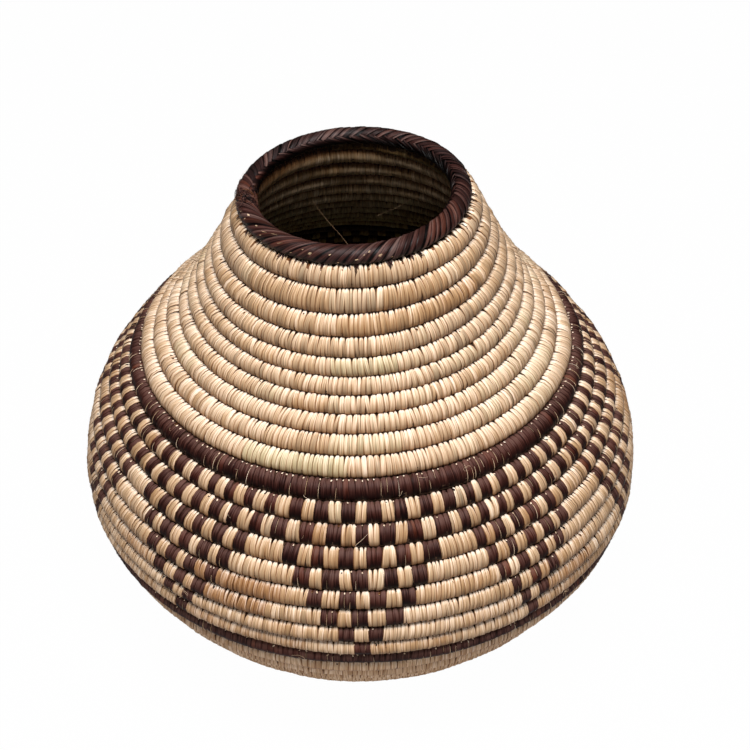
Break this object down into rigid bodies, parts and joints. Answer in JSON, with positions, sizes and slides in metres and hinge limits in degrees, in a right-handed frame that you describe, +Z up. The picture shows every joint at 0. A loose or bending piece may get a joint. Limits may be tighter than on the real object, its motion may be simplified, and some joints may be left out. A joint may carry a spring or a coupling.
{
  "type": "coiled palm basket",
  "caption": "Round-bellied coiled palm basket with a drawn-in neck, an open mouth and a braided dark rim, for holding or showing small things.",
  "frame": {"origin": "middle of the underside of the base, on the surface that the basket stands on", "axes": "+Z up through the mouth, -Y towards the front that the picture shows, +X to its right"},
  "size_m": [0.2996, 0.2997, 0.2618],
  "materials": {
    "natural_leaf": "dry split palm leaf in its natural straw colour, satin, with fine grain along each strip",
    "dyed_leaf": "split palm leaf dyed very dark brown, satin, with redder strips among the dark ones",
    "rim_leaf": "wide leaf strips dyed reddish dark brown, satin, with lengthwise grain"
  },
  "bodies": {
    "root": {"start_knot": "natural_leaf", "base_round_1": "natural_leaf", "base_round_2": "natural_leaf", "base_round_3": "natural_leaf", "base_round_4": "natural_leaf", "base_round_5": "natural_leaf", "lower_round_1": "natural_leaf", "lower_round_2": "natural_leaf", "lower_round_3": "natural_leaf", "lower_round_4": "natural_leaf", "lower_round_5": "natural_leaf", "lower_round_6": "natural_leaf", "lower_round_7": "natural_leaf", "lower_round_8": "natural_leaf", "lower_round_9": "natural_leaf", "lower_round_10": "natural_leaf", "lower_round_11": "natural_leaf", "lower_dark_band": "dyed_leaf", "pattern_round_1": "natural_leaf", "pattern_round_2": "natural_leaf", "pattern_round_3": "natural_leaf", "pattern_round_4": "natural_leaf", "pattern_round_5": "natural_leaf", "pattern_round_6": "natural_leaf", "pattern_round_7": "natural_leaf", "pattern_round_8": "natural_leaf", "upper_dark_band": "dyed_leaf", "neck_round_1": "natural_leaf", "neck_round_2": "natural_leaf", "neck_round_3": "natural_leaf", "neck_round_4": "natural_leaf", "neck_round_5": "natural_leaf", "neck_round_6": "natural_leaf", "neck_round_7": "natural_leaf", "neck_round_8": "natural_leaf", "neck_round_9": "natural_leaf", "neck_round_10": "natural_leaf", "rim_coil": "natural_leaf", "rim_braid": "rim_leaf", "rim_knot": "rim_leaf"}
  },
  "joints": []
}
